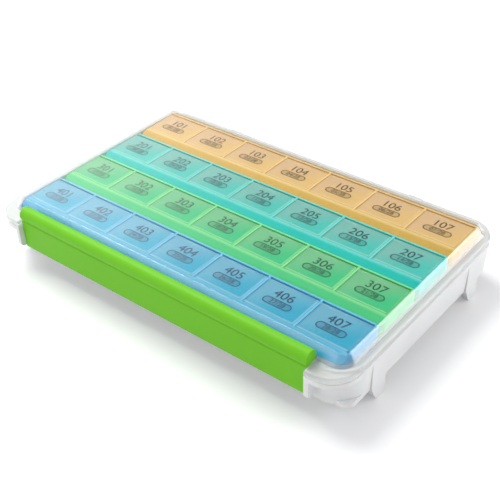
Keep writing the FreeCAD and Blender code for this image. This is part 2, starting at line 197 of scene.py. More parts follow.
class Graph(NodeTree):
    """Shader nodes of a material or the world."""

    def __init__(self, owner: bpy.types.Material | bpy.types.World) -> None:
        """Start with no nodes.

        Args:
            owner: The material or world that the nodes belong to.
        """
        owner.use_nodes = True
        super().__init__(owner.node_tree)
        self.owner = owner
        self.tree.nodes.clear()

    @classmethod
    def named(cls, name: str) -> "Graph":
        """The empty nodes of a new material."""
        return cls(bpy.data.materials.new(name))

    def output(self, shader: Socket) -> bpy.types.Material | bpy.types.World:
        """Send a shader to the surface.

        Args:
            shader: The finished shader's socket.

        Returns:
            The finished material or world.
        """
        kind = "World" if isinstance(self.owner, bpy.types.World) else "Material"
        self.node(f"ShaderNodeOutput{kind}", Surface=shader)
        return self.owner

    def noise(self, scale: float, detail: float = 3.0) -> Socket:
        """Soft noise on object coordinates.

        Args:
            scale: Noise cells per metre.
            detail: Octaves of finer noise.

        Returns:
            The noise's value socket.
        """
        place = self.node("ShaderNodeTexCoord").outputs["Object"]
        noise = self.node("ShaderNodeTexNoise", Vector=place, Scale=scale, Detail=detail,
                          Roughness=0.55)
        return noise.outputs["Fac"]

    def ranged(self, value: Socket, low: float, high: float) -> Socket:
        """Map a value of 0 to 1 onto a range from low to high."""
        return self.node("ShaderNodeMapRange", Value=value, To_Min=low,
                         To_Max=high).outputs["Result"]

    def place(self) -> bpy.types.Node:
        """The object coordinates, split in X, Y and Z, one output an axis."""
        source = self.node("ShaderNodeTexCoord")
        return self.node("ShaderNodeSeparateXYZ", Vector=source.outputs["Object"])

    def eased(self, value: Socket, start: float, end: float, low: float = 0.0,
              high: float = 1.0) -> Socket:
        """Ease from low to high while a value crosses the stretch from start to end."""
        return self.node("ShaderNodeMapRange", {"interpolation_type": "SMOOTHSTEP"}, Value=value,
                         From_Min=start, From_Max=end, To_Min=low, To_Max=high).outputs["Result"]

    def blended(self, share: Socket, first: Socket | Colour, second: Colour) -> Socket:
        """Blend a colour towards another.

        Args:
            share: 0 for the first colour and 1 for the second.
            first: Colour at 0, or its socket.
            second: Colour at 1.

        Returns:
            The blended colour's socket.
        """
        mix = self.node("ShaderNodeMix", {"data_type": "RGBA"})
        first = first if isinstance(first, Socket) else (*first, 1)
        used = (given for given in mix.inputs if given.enabled)
        for given, value in zip(used, (share, first, (*second, 1))):
            self.fill(given, value)
        return next(result for result in mix.outputs if result.enabled)

    def bump(self, height: Socket, depth: float) -> Socket:
        """Bumps of a depth from a height socket, as a bent normal's socket."""
        return self.node("ShaderNodeBump", Height=height, Distance=depth,
                         Strength=1.0).outputs["Normal"]

    def mottled(self, colour: Colour, scale: float, variation: float) -> Socket:
        """A colour whose brightness softly varies by a share, at a scale of cells a metre."""
        return self.blended(self.noise(scale), shaded(colour, 1 - variation),
                            shaded(colour, 1 + variation))

    def ripples(self, scale: float = 160.0, depth: float = 0.03 * MM) -> Socket:
        """The faint waves of a moulded surface, as a bent normal's socket."""
        return self.bump(self.noise(scale, 1.0), depth)

    def tinted(self, colour: Socket, roughness: float, gloss: float) -> bpy.types.Node:
        """Rippled, tinted plastic of a roughness and a strength of its gloss."""
        return self.node("ShaderNodeBsdfPrincipled", IOR=PLASTIC_IOR, Base_Color=colour,
                         Roughness=roughness, Specular_IOR_Level=gloss, Normal=self.ripples())

    def mixed_shader(self, share: Socket, first: Socket, second: Socket) -> Socket:
        """Mix two shaders by a socket.

        Args:
            share: 0 for the first shader and 1 for the second.
            first: Shader at 0.
            second: Shader at 1.

        Returns:
            The mixed shader's socket.
        """
        mix = self.node("ShaderNodeMixShader")
        for given, source in zip(mix.inputs, (share, first, second)):
            self.fill(given, source)
        return mix.outputs[0]

    def let_through(self, body: bpy.types.Node, tint: Colour, cover: tuple[float, float],
                    shadow_cover: float, turning: float = 0.35) -> bpy.types.Material:
        """Let part of the light pass a plastic, and finish its material.

        Args:
            body: The plastic's own shader node.
            tint: Linear colour of the light that passes.
            cover: Share that the plastic covers, seen square on and along the surface.
            shadow_cover: Share that it covers for the light that makes shadows.
            turning: How early the cover grows as the surface turns away.

        Returns:
            The finished material.
        """
        clear = self.node("ShaderNodeBsdfTransparent", Color=(*tint, 1))
        facing = self.node("ShaderNodeLayerWeight", Blend=turning)
        seen = self.ranged(facing.outputs["Facing"], *cover)
        path = self.node("ShaderNodeLightPath")
        eased = self.ranged(path.outputs["Is Shadow Ray"], 1.0, shadow_cover / cover[0])
        share = self.maths("MULTIPLY", seen, eased)
        return self.output(self.mixed_shader(share, clear.outputs[0], body.outputs["BSDF"]))


def shaded(colour: Colour, factor: float) -> Colour:
    """Scale a colour's brightness."""
    return colour[0] * factor, colour[1] * factor, colour[2] * factor


@dataclass(frozen=True)
class OpaquePlastic:
    """Moulded plastic that hides all or most of what lies behind it.

    Attributes:
        name: The material's name.
        colour: Linear colour.
        roughness: Mean roughness.
        grain: Depth of the mould grain.
        grain_scale: Cells of the grain per metre.
        passing: Share of the light that gets through it to what lies behind.
        shaded_creases: Heights in the frame of its creases, which hold a darker line of painted
            shade.
        crease_fade: How far from that height the painted shade starts to fade and where it ends.
        crease_shadow_strength: How much darker the painted shade is.
        crease_shade: Brightness of the painted shade's own colour, as a share of the plastic's.
        unevenness: Largest change of the roughness.
        gloss: Strength of the gloss.
        scatter: Share of the light that spreads inside it.
        scatter_depth: How far that light spreads.
    """

    name: str
    colour: Colour
    roughness: float
    grain: float
    grain_scale: float = 3200.0
    passing: float = 0.0
    shaded_creases: tuple[float, ...] = ()
    crease_fade: tuple[float, float] = (0.15 * MM, 0.35 * MM)
    crease_shadow_strength: float = 0.5
    crease_shade: float = 0.3
    unevenness: float = 0.05
    gloss: float = 0.25
    scatter: float = 0.12
    scatter_depth: float = 2.0 * MM

    def material(self) -> bpy.types.Material:
        """Build the finish's nodes.

        Returns:
            The material.
        """
        graph = Graph.named(self.name)
        fine = graph.noise(self.grain_scale, detail=2.0)
        colour = graph.mottled(self.colour, scale=55.0, variation=0.04)
        # Painted shade: a darker line at each crease height stands in for the shadow in the groove.
        for height in self.shaded_creases:
            level = graph.place().outputs["Z"]
            away = graph.maths("ABSOLUTE", graph.maths("SUBTRACT", level, height))
            line = graph.eased(away, *self.crease_fade, self.crease_shadow_strength, 0.0)
            colour = graph.blended(line, colour, shaded(self.colour, self.crease_shade))
        roughness = graph.ranged(fine, self.roughness - self.unevenness,
                                 self.roughness + self.unevenness)
        shader = graph.node("ShaderNodeBsdfPrincipled", IOR=PLASTIC_IOR, Base_Color=colour,
                            Roughness=roughness, Normal=graph.bump(fine, self.grain),
                            Specular_IOR_Level=self.gloss, Subsurface_Weight=self.scatter,
                            Subsurface_Scale=self.scatter_depth)
        if not self.passing:
            return graph.output(shader.outputs["BSDF"])
        return graph.let_through(shader, self.colour, (1.0, 1.0), 1.0 - self.passing)


@dataclass(frozen=True)
class BoxPlastic:
    """Strongly tinted, a little see-through plastic of a weekly box.

    Its top edges carry a painted highlight and its hinge wall painted light, both paler than its
    walls, and its shadows are tinted and light.

    Attributes:
        name: The material's name.
        colour: Linear colour of the walls.
        edge: Linear colour of the painted highlight on the top edges.
        edge_height: Height of those edges, in the frame.
        rear: Y of the box's rear face, beside which the hinge wall carries painted light.
        painted_highlight: Where the edges' painted highlight starts and where it is brightest, below
            their top.
        highlight_cover: Share of the highlight's paler colour on those edges.
        hinge_wall: The same two distances of the hinge wall's painted light, from the rear face.
        hinge_light_cover: Share of the painted light's paler colour on that wall.
        cover: Share that its own colour covers, seen square on and along the surface.
        shadow_cover: That share for the light that makes shadows.
        roughness: Roughness of the gloss.
        gloss: Strength of the gloss.
    """

    name: str
    colour: Colour
    edge: Colour
    edge_height: float
    rear: float
    painted_highlight: tuple[float, float] = (1.0 * MM, 0.2 * MM)
    highlight_cover: float = 0.7
    hinge_wall: tuple[float, float] = (3.4 * MM, 2.4 * MM)
    hinge_light_cover: float = 0.6
    cover: tuple[float, float] = (0.9, 0.98)
    shadow_cover: float = 0.3
    roughness: float = 0.4
    gloss: float = 0.08

    def material(self) -> bpy.types.Material:
        """Build the finish's nodes.

        Returns:
            The material.
        """
        graph = Graph.named(self.name)
        colour = graph.mottled(self.colour, scale=70.0, variation=0.03)
        place = graph.place().outputs
        # Painted highlight: the top edges grow paler, as where they catch the light.
        painted_highlight = graph.eased(place["Z"], self.edge_height - self.painted_highlight[0],
                             self.edge_height - self.painted_highlight[1], 0.0, self.highlight_cover)
        # Painted light: the hinge wall by the rear face grows paler, lifting the shade in the gap
        # behind the lids.
        hinge_light = graph.eased(place["Y"], self.rear - self.hinge_wall[0],
                             self.rear - self.hinge_wall[1], 0.0, self.hinge_light_cover)
        paler = graph.maths("MAXIMUM", painted_highlight, hinge_light)
        colour = graph.blended(paler, colour, self.edge)
        body = graph.tinted(colour, self.roughness, self.gloss)
        return graph.let_through(body, self.colour, self.cover, self.shadow_cover)


@dataclass(frozen=True)
class LidPlastic:
    """Pale tinted plastic of the flip lids, with painted shading of the compartment under it.

    Attributes:
        name: The material's name.
        shade: Linear colour of the painted shade over the compartment's shaded corner.
        light: Linear colour of the painted light over its lit corner.
        edge: Linear colour of the painted highlight on the right and front edges.
        corner: Front left corner of the row's first lid.
        size: Width and depth of a lid.
        pitch: Distance between two lids of the row.
        cover: Share that its own colour covers, seen square on and along the surface.
        shadow_cover: That share for the light that makes shadows.
        roughness: Roughness of the gloss.
        gloss: Strength of the gloss.
        edge_width: Width of the painted highlight on the right and front edges and of the painted
            shade on the left one.
        edge_full: How near the edge the painted highlights are at their full share.
        pale_share: Share of the highlights' own colour there.
        dark_full: How near its edge the painted shade on the left is at its full share.
        dark_share: Share of the painted shade's colour there.
        dark_shade: Brightness of the painted shade's colour, as a share of the shaded corner's.
        border: Start and end of the change from shaded to lit, by right less rear distance
            as shares of the lid's width and depth.
        clouding: How far soft clouds shift the border between the lit and shaded corners.
    """

    name: str
    shade: Colour
    light: Colour
    edge: Colour
    corner: tuple[float, float]
    size: tuple[float, float]
    pitch: float
    cover: tuple[float, float] = (0.68, 0.85)
    shadow_cover: float = 0.25
    roughness: float = 0.18
    gloss: float = 0.4
    edge_width: float = 0.9 * MM
    edge_full: float = 0.3 * MM
    pale_share: float = 0.7
    dark_full: float = 0.2 * MM
    dark_share: float = 0.45
    dark_shade: float = 0.55
    border: tuple[float, float] = (-0.5, 0.6)
    clouding: float = 0.12

    def material(self) -> bpy.types.Material:
        """Build the finish's nodes.

        Returns:
            The material.
        """
        graph = Graph.named(self.name)
        across, along = self._on_lid(graph)
        # Painted shade and light: each lid is darker towards its rear left and lighter towards its
        # front right, as over the compartment's shaded and lit inside.
        lit = graph.maths("SUBTRACT", graph.maths("DIVIDE", across, self.size[0]),
                          graph.maths("DIVIDE", along, self.size[1]))
        clouds = graph.ranged(graph.noise(scale=70.0), -self.clouding, self.clouding)
        cloud = graph.maths("ADD", lit, clouds)
        colour = graph.blended(graph.eased(cloud, *self.border), self.shade, self.light)
        # Painted highlight along the right and front edges, and painted shade along the left one.
        width, full = self.edge_width, self.edge_full
        right = graph.eased(across, self.size[0] - width, self.size[0] - full)
        front = graph.eased(along, full, width, 1.0, 0.0)
        edge_highlight = graph.ranged(graph.maths("MAXIMUM", right, front), 0.0, self.pale_share)
        colour = graph.blended(edge_highlight, colour, self.edge)
        left = graph.eased(across, self.dark_full, width, self.dark_share, 0.0)
        colour = graph.blended(left, colour, shaded(self.shade, self.dark_shade))
        body = graph.tinted(colour, self.roughness, self.gloss)
        return graph.let_through(body, self.light, self.cover, self.shadow_cover)

    def _on_lid(self, graph: Graph) -> tuple[Socket, Socket]:
        """Distances from the front left corner of the lid that a place is on.

        Args:
            graph: The material's nodes.

        Returns:
            Sockets of the distances to the right and to the rear, in metres.
        """
        place = graph.place()
        run = graph.maths("SUBTRACT", place.outputs["X"], self.corner[0])
        turns = graph.maths("FRACT", graph.maths("DIVIDE", run, self.pitch))
        along = graph.maths("SUBTRACT", place.outputs["Y"], self.corner[1])
        return graph.maths("MULTIPLY", turns, self.pitch), along


@dataclass(frozen=True)
class ClearPlastic:
    """Clear plastic that bends light and casts hardly any shadow.

    It is polished above a height and finely frosted, so a little milky, below it. Its plateau's
    margins carry painted light and its front edge a painted highlight, both as a milky white.

    Attributes:
        name: The material's name.
        colour: Linear tint of the light that passes.
        roughness: Mean roughness of the polish.
        frost_height: Height where the frosting ends, in the frame.
        frost_roughness: Roughness of the frosted stretch.
        frost_cover: Share of the frosted stretch that looks milky.
        frost_shade: Brightness of the light that passes it, as a share.
        frost_fade: Where it starts to end and where it has ended, from that height.
        painted_light_margins: X of the left end and Y of the rear face of what lies under the
            margins with painted light.
        front_edge: Y of the plateau's front edge, whose rounding carries a painted highlight.
        painted_light_cover: Share of those margins that the painted light covers in milky white.
        left_painted_light: Where the left margin's painted light starts to fade and where it ends,
            from there.
        rear_painted_light: Where the rear margin's painted light starts and where it is full, short
            of there.
        highlight_cover: The milky share of the painted highlight on the rounding of the front edge.
        highlight_width: How far from that edge it reaches.
        corner_light_cover: The milky share of the painted light at the plateau's front right corner.
        corner_painted_light: Where it starts and where it is full, measured to that corner.
        milk_shade: Darkest and lightest brightness of the milky look, as shares.
        polish_range: Smallest and largest roughness of the polish, as shares of the mean.
        coat_roughness: Roughness of its outermost gloss.
        wave_depth: Depth of the surface's broad waves.
        wave_shade: Brightness of the tint in their troughs, as a share.
        bending: Index of refraction, kept low so that thin edges stay clean lines.
        layers: How many surfaces a ray passes before the rest no longer bend it.
    """

    name: str
    colour: Colour
    roughness: float
    frost_height: float
    frost_roughness: float
    frost_cover: float
    painted_light_margins: tuple[float, float]
    front_edge: float
    frost_shade: float = 0.86
    frost_fade: tuple[float, float] = (-0.1 * MM, 0.3 * MM)
    painted_light_cover: float = 0.46
    left_painted_light: tuple[float, float] = (1.0 * MM, 2.6 * MM)
    rear_painted_light: tuple[float, float] = (2.7 * MM, 1.0 * MM)
    highlight_cover: float = 0.16
    highlight_width: float = 1.3 * MM
    corner_light_cover: float = 0.14
    corner_painted_light: tuple[float, float] = (-5.0 * MM, 1.0 * MM)
    milk_shade: tuple[float, float] = (0.7, 0.74)
    polish_range: tuple[float, float] = (0.6, 1.4)
    coat_roughness: float = 0.14
    wave_depth: float = 0.008 * MM
    wave_shade: float = 0.985
    bending: float = 1.14
    layers: int = 4

    def material(self) -> bpy.types.Material:
        """Build the finish's nodes.

        Returns:
            The material.
        """
        graph = Graph.named(self.name)
        waves = graph.noise(scale=38.0, detail=1.0)
        frost, painted_light_margins = self._frost(graph), self._painted_light(graph)
        body, frost_and_painted_light = self._polish(graph, waves, frost), self._frost_and_painted_light(graph, waves, painted_light_margins)
        # The milky look: real frost below the height, and painted light and highlight on the
        # plateau's margins and front edge.
        frost_and_light_share = graph.maths("MAXIMUM", graph.ranged(frost, 0.0, self.frost_cover), painted_light_margins)
        milky = graph.mixed_shader(frost_and_light_share, body, frost_and_painted_light)
        clear = graph.node("ShaderNodeBsdfTransparent", Color=(*self.colour, 1))
        path = graph.node("ShaderNodeLightPath")
        passing = graph.maths("GREATER_THAN", path.outputs["Ray Depth"], self.layers + 0.5)
        for kind in ("Is Shadow Ray", "Is Diffuse Ray"):
            passing = graph.maths("MAXIMUM", passing, path.outputs[kind])
        return graph.output(graph.mixed_shader(passing, milky, clear.outputs[0]))

    def _polish(self, graph: Graph, waves: Socket, frost: Socket) -> Socket:
        """The clear plastic itself, rougher where it is frosted.

        Args:
            graph: The material's nodes.
            waves: Socket of the surface's broad waves.
            frost: Socket of the frosted stretch's mask.

        Returns:
            The shader's socket.
        """
        tint = graph.blended(waves, shaded(self.colour, self.wave_shade), self.colour)
        tint = graph.blended(frost, tint, shaded(self.colour, self.frost_shade))
        ends = (self.roughness * share for share in self.polish_range)
        polished = graph.ranged(graph.noise(scale=240.0), *ends)
        roughness = graph.node("ShaderNodeMix", Factor=frost, A=polished, B=self.frost_roughness)
        body = graph.node("ShaderNodeBsdfPrincipled", IOR=self.bending, Base_Color=tint,
                          Roughness=roughness.outputs[0], Normal=graph.bump(waves, self.wave_depth),
                          Transmission_Weight=1.0, Coat_Weight=1.0, Coat_IOR=1.5,
                          Coat_Roughness=self.coat_roughness)
        return body.outputs["BSDF"]

    def _frost_and_painted_light(self, graph: Graph, waves: Socket, painted_light_margins: Socket) -> Socket:
        """The milky look of the frosted stretch, and of the painted light and highlight.

        Args:
            graph: The material's nodes.
            waves: Socket of the surface's broad waves.
            painted_light_margins: Socket of the share of painted light on the margins and front
                edge.

        Returns:
            The shader's socket.
        """
        grey = graph.blended(waves, *(shaded(self.colour, share) for share in self.milk_shade))
        frost_and_painted_light = graph.node("ShaderNodeBsdfPrincipled", IOR=1.47, Roughness=0.3,
                          Base_Color=graph.blended(painted_light_margins, grey, self.colour))
        return frost_and_painted_light.outputs["BSDF"]

    def _frost(self, graph: Graph) -> Socket:
        """A mask that is 1 on the frosted stretch and 0 above it."""
        ends = (self.frost_height + above for above in self.frost_fade)
        return graph.eased(graph.place().outputs["Z"], *ends, 1.0, 0.0)

    def _painted_light(self, graph: Graph) -> Socket:
        """Share of painted light and highlight, as a milky white, on the plateau's margins and front
        edge.

        Args:
            graph: The material's nodes.

        Returns:
            The share's socket.
        """
        place = graph.place().outputs
        # Painted light on the left and rear margins and at the front right corner, where shade shows
        # through the cover.
        left = graph.eased(place["X"], *(self.painted_light_margins[0] + away for away in self.left_painted_light),
                           self.painted_light_cover, 0.0)
        rear = graph.eased(place["Y"], *(self.painted_light_margins[1] - away for away in self.rear_painted_light),
                           0.0, self.painted_light_cover)
        away = graph.maths("SUBTRACT", place["X"], place["Y"])
        reach = -self.painted_light_margins[0] - self.front_edge
        corner = graph.eased(away, *(reach + short for short in self.corner_painted_light), 0.0,
                             self.corner_light_cover)
        # Painted highlight along the rounding of the plateau's front edge.
        edge = graph.maths("ABSOLUTE", graph.maths("SUBTRACT", place["Y"], self.front_edge))
        painted_highlight = graph.eased(edge, 0.0, self.highlight_width, self.highlight_cover, 0.0)
        share = graph.maths("MAXIMUM", left, rear)
        share = graph.maths("MAXIMUM", share, graph.maths("MAXIMUM", corner, painted_highlight))
        return graph.maths("MULTIPLY", share, graph.ranged(self._frost(graph), 1.0, 0.0))


@dataclass(frozen=True)
class PrintInk:
    """Thin dark print on the flip lids.

    Attributes:
        name: The material's name.
        colour: Linear colour of the ink.
        cover: Mean share that the ink covers.
        thinning: How far that share changes over the print.
        patches: Cells per metre of that change.
    """

    name: str
    colour: Colour
    cover: float
    thinning: float = 0.04
    patches: float = 900.0

    def material(self) -> bpy.types.Material:
        """Build the finish's nodes.

        Returns:
            The material.
        """
        graph = Graph.named(self.name)
        patches = graph.noise(self.patches)
        colour = graph.mottled(self.colour, self.patches, variation=0.1)
        ink = graph.node("ShaderNodeBsdfPrincipled", Roughness=0.35, Base_Color=colour)
        clear = graph.node("ShaderNodeBsdfTransparent")
        cover = graph.ranged(patches, self.cover - self.thinning, self.cover + self.thinning)
        return graph.output(graph.mixed_shader(cover, clear.outputs[0], ink.outputs["BSDF"]))


@dataclass(frozen=True)
class WeekTones:
    """Linear colours of one weekly box, its flip lids and their print.

    Attributes:
        box: The box's walls.
        box_highlight: The painted highlight on its edges.
        lid_shade: The lids' painted shade over the compartments' shaded corner.
        lid_light: The lids' painted light over the lit corner.
        lid_highlight: The painted highlight on the lids' right and front edges.
        ink: The print.
    """

    box: Colour
    box_highlight: Colour
    lid_shade: Colour
    lid_light: Colour
    lid_highlight: Colour
    ink: Colour

    @classmethod
    def of(cls, week: Week) -> "WeekTones":
        """The colours of one week.

        Args:
            week: The weekly box.

        Returns:
            Its colours.
        """
        # Each week: box walls, box's painted edge highlight, lids' painted shade, lids' painted
        # light, lids' painted edge highlight, print.
        tones = {
            Week.FIRST: ((226, 178, 82), (255, 222, 150), (238, 206, 160), (244, 210, 140),
                         (255, 232, 178), (92, 72, 36)),
            Week.SECOND: ((0, 200, 192), (130, 234, 226), (144, 208, 198), (88, 216, 204),
                          (184, 242, 234), (8, 72, 78)),
            Week.THIRD: ((80, 210, 134), (150, 240, 160), (136, 214, 160), (76, 216, 150),
                         (184, 248, 186), (12, 78, 50)),
            Week.FOURTH: ((0, 166, 216), (132, 214, 246), (128, 198, 222), (66, 190, 221),
                          (184, 232, 252), (8, 60, 96)),
        }
        return cls(*(linear(*tone) for tone in tones[week]))


@dataclass
class CaseTray:
    """The frosted tray that the whole case stands on.

    Attributes:
        edge_round: Width of the rounding of its edges.
        plastic: Its finish.
    """

    edge_round: float = 0.35 * MM
    # The crease at the rim's top holds painted shade for the shadow of the parting line under the
    # cover.
    plastic: OpaquePlastic = OpaquePlastic(
        "frosted_plastic", linear(234, 235, 236), roughness=0.42, grain=0.004 * MM, passing=0.35,
        shaded_creases=(25.55 * MM,), crease_shadow_strength=0.35)

    def build(self, organizer: Organizer) -> None:
        """Round and dress the tray."""
        organizer.soften("case_tray", self.edge_round)
        organizer.dress("case_tray", self.plastic.material())


@dataclass
class CaseLid:
    """The clear cover with its raised plateau and frosted flange.

    Attributes:
        edge_round: Width of the rounding of its edges.
        frost_height: Height below which it is frosted.
        tint: Linear tint of the light that passes.
        front_overlap: How far the plateau's front edge lies behind the front box's face.
    """

    edge_round: float = 0.6 * MM
    frost_height: float = 28.8 * MM
    tint: Colour = (0.972, 0.985, 0.98)
    front_overlap: float = 0.75 * MM

    def build(self, organizer: Organizer) -> None:
        """Round and dress the cover.

        Args:
            organizer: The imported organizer.
        """
        low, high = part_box("week_1_box")
        front_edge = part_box("week_4_box")[0].y + self.front_overlap
        # The plateau's margins get painted light and its front edge a painted highlight, placed by
        # the boxes.
        plastic = ClearPlastic("clear_plastic", self.tint, roughness=0.07,
                               frost_height=self.frost_height, frost_roughness=0.12,
                               frost_cover=0.45, painted_light_margins=(low.x, high.y), front_edge=front_edge)
        organizer.soften("case_lid", self.edge_round)
        organizer.dress("case_lid", plastic.material())


@dataclass
class LatchBar:
    """The green latch: a round bead with its hanging panel.

    Attributes:
        plastic: Its finish.
    """

    plastic: OpaquePlastic = OpaquePlastic("latch_green_plastic", linear(112, 196, 26),
                                           roughness=0.5, grain=0.004 * MM)

    def build(self, organizer: Organizer) -> None:
        """Dress the latch."""
        organizer.dress("latch_bar", self.plastic.material())


@dataclass
class WeeklyBox:
    """One lift-out box of seven compartments.

    Attributes:
        week: Which week it holds.
        edge_round: Width of the rounding of its edges.
    """

    week: Week
    edge_round: float = 0.25 * MM

    def build(self, organizer: Organizer) -> None:
        """Round and dress the box.

        Args:
            organizer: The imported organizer.
        """
        name = f"week_{self.week.value}_box"
        tones = WeekTones.of(self.week)
        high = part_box(name)[1]
        plastic = BoxPlastic(f"{self.week.name.lower()}_box_plastic", tones.box, tones.box_highlight,
                             high.z, high.y)
        organizer.soften(name, self.edge_round)
        organizer.dress(name, plastic.material())


@dataclass
class FlipLids:
    """The seven flip lids of one weekly box.

    Attributes:
        week: The week of the box that they close.
        columns: How many there are.
        plate: Width and depth of a lid's flat plate, without its barrel and pegs.
        pitch: Distance between two lids.
        tab_depth: How far the finger tab stands out in front of the plate.
        barrel_rise: Height of the hinge barrel above the plate.
        edge_round: Width of the rounding of their edges.
    """

    week: Week
    columns: int = 7
    plate: tuple[float, float] = (27.0 * MM, 18.5 * MM)
    pitch: float = 29.0 * MM
    tab_depth: float = 0.25 * MM
    barrel_rise: float = 0.1 * MM
    edge_round: float = 0.4 * MM

    def build(self, organizer: Organizer) -> None:
        """Round and dress the lids.

        Args:
            organizer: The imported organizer.
        """
        tones = WeekTones.of(self.week)
        corner = self.plate_corner(1)
        plastic = LidPlastic(f"{self.week.name.lower()}_lid_plastic", tones.lid_shade,
                             tones.lid_light, tones.lid_highlight, (corner.x, corner.y), self.plate,
                             self.pitch).material()
        for column in range(1, self.columns + 1):
            organizer.soften(self.name(column), self.edge_round)
            organizer.dress(self.name(column), plastic)

    def name(self, column: int) -> str:
        """A lid's name, by its place in the row, from 1."""
        return f"week_{self.week.value}_lid_{column}"

    def plate_corner(self, column: int) -> Vector:
        """The front left corner of a lid's plate, on its top.

        Args:
            column: The lid's place in the row, from 1.

        Returns:
            The corner in the frame.
        """
        low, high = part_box(self.name((self.columns + 1) // 2))
        middle = (low.x + high.x) / 2
        steps = column - (self.columns + 1) / 2
        return Vector((middle + steps * self.pitch - self.plate[0] / 2, low.y + self.tab_depth,
                       high.z - self.barrel_rise))


class MarkTree(NodeTree):
    """Geometry Nodes that print one day's mark: a number above a round-ended plate.

    The tree has named inputs for the words and sizes. The plate is an outline over a
    lighter wash, with its short text inside.

    Attributes:
        step: How far the wash lies below the ink.
        end_round: Radius of the plate's ends, as a share of its height just under a half.
        end_points: Points on each rounded corner.
    """

    step: float = 0.01 * MM
    end_round: float = 0.499
    end_points: int = 8

    def __init__(self) -> None:
        """Build the tree with its inputs."""
        super().__init__(bpy.data.node_groups.new("day_mark", "GeometryNodeTree"))
        face = self.tree.interface
        for kind, names in (("String", ("Number", "Plate Text")),
                            ("Float", ("Number Size", "Plate Length", "Plate Height",
                                       "Plate Text Size", "Plate Drop", "Stroke Width",
                                       "Outline Width")),
                            ("Material", ("Ink", "Wash"))):
            for name in names:
                face.new_socket(name, in_out="INPUT", socket_type=f"NodeSocket{kind}")
        face.new_socket("Geometry", in_out="OUTPUT", socket_type="NodeSocketGeometry")
        self._build()

    def _build(self) -> None:
        """Add the nodes: text and plate outlines, fill, thickness, instances and ink."""
        given = self.node("NodeGroupInput").outputs
        number = self._text(given["Number"], given["Number Size"])
        plate_text = self._text(given["Plate Text"], given["Plate Text Size"])
        plate = self.node("GeometryNodeCurvePrimitiveQuadrilateral", Width=given["Plate Length"],
                          Height=given["Plate Height"])
        radius = self.maths("MULTIPLY", given["Plate Height"], self.end_round)
        rounded = self.node("GeometryNodeFilletCurve", {"mode": "POLY"}, Radius=radius,
                            Curve=plate.outputs["Curve"], Count=self.end_points)
        drop = self.node("ShaderNodeCombineXYZ", Y=self.maths("MULTIPLY", given["Plate Drop"], -1.0))
        outline, caption = (self._moved(source, drop.outputs[0])
                            for source in (rounded.outputs["Curve"], plate_text))
        sunk = self.node("ShaderNodeCombineXYZ", Z=-self.step)
        printed = [self._filled(number), self._stroked(number, given["Stroke Width"]),
                   self._stroked(outline, given["Outline Width"]), self._filled(caption),
                   self._stroked(caption, given["Stroke Width"])]
        washed = [self._moved(self._filled(outline), sunk.outputs[0])]
        inked = [self._inked(printed, given["Ink"]), self._inked(washed, given["Wash"])]
        self.node("NodeGroupOutput", Geometry=self._joined(inked))

    def _joined(self, pieces: list[Socket]) -> Socket:
        """Join geometries.

        Args:
            pieces: Their sockets.

        Returns:
            The joined geometry's socket.
        """
        joined = self.node("GeometryNodeJoinGeometry")
        for piece in pieces:
            self.fill(joined.inputs[0], piece)
        return joined.outputs[0]

    def _inked(self, pieces: list[Socket], finish: Socket) -> Socket:
        """Join pieces of print and give them their ink."""
        real = self.node("GeometryNodeRealizeInstances", Geometry=self._joined(pieces))
        return self.node("GeometryNodeSetMaterial", Geometry=real.outputs[0],
                         Material=finish).outputs[0]

    def _moved(self, source: Socket, offset: Socket) -> Socket:
        """The same geometry, moved by an offset."""
        return self.node("GeometryNodeTransform", Geometry=source, Translation=offset).outputs[0]

    def _text(self, words: Socket, size: Socket) -> Socket:
        """Centred, realized outlines of a short text."""
        text = self.node("GeometryNodeStringToCurves", {"align_x": "CENTER", "align_y": "MIDDLE"},
                         String=words, Size=size)
        return self.node("GeometryNodeRealizeInstances", Geometry=text.outputs[0]).outputs[0]

    def _stroked(self, outlines: Socket, width: Socket) -> Socket:
        """Draw flat strokes along outlines.

        Args:
            outlines: Flat closed curves.
            width: Socket of the stroke's width.

        Returns:
            The strokes' socket.
        """
        ends = {name: self.node("ShaderNodeCombineXYZ", X=self.maths("MULTIPLY", width, share))
                for name, share in (("Start", 0.5), ("End", -0.5))}
        profile = self.node("GeometryNodeCurvePrimitiveLine", Start=ends["Start"].outputs[0],
                            End=ends["End"].outputs[0])
        level = self.node("GeometryNodeSetCurveNormal", {"mode": "Z_UP"}, Curve=outlines)
        return self.node("GeometryNodeCurveToMesh", Curve=level.outputs["Curve"],
                         Profile_Curve=profile.outputs["Curve"]).outputs["Mesh"]

    def _filled(self, outlines: Socket) -> Socket:
        """The flat print inside closed outlines."""
        return self.node("GeometryNodeFillCurve", {"mode": "TRIANGLES"}, Curve=outlines).outputs[0]

    def mesh(self, values: dict[str, object]) -> bpy.types.Mesh:
        """Make one mark as a plain mesh round the origin.

        Args:
            values: The inputs by their names.

        Returns:
            The mark's mesh, with one material slot for each finish on it.
        """
        holder = bpy.data.objects.new("mark_holder", bpy.data.meshes.new("mark_holder"))
        bpy.context.scene.collection.objects.link(holder)
        modifier = holder.modifiers.new("mark", "NODES")
        modifier.node_group = self.tree
        for item in self.tree.interface.items_tree:
            if item.in_out == "INPUT":
                modifier[item.identifier] = values[item.name]
        graph = bpy.context.evaluated_depsgraph_get()
        mesh = bpy.data.meshes.new_from_object(holder.evaluated_get(graph), depsgraph=graph)
        bpy.data.objects.remove(holder)
        used = [material for material in mesh.materials if material]
        places = [used.index(mesh.materials[face.material_index]) for face in mesh.polygons]
        mesh.materials.clear()
        for material in used:
            mesh.materials.append(material)
        mesh.polygons.foreach_set("material_index", places)
        return mesh


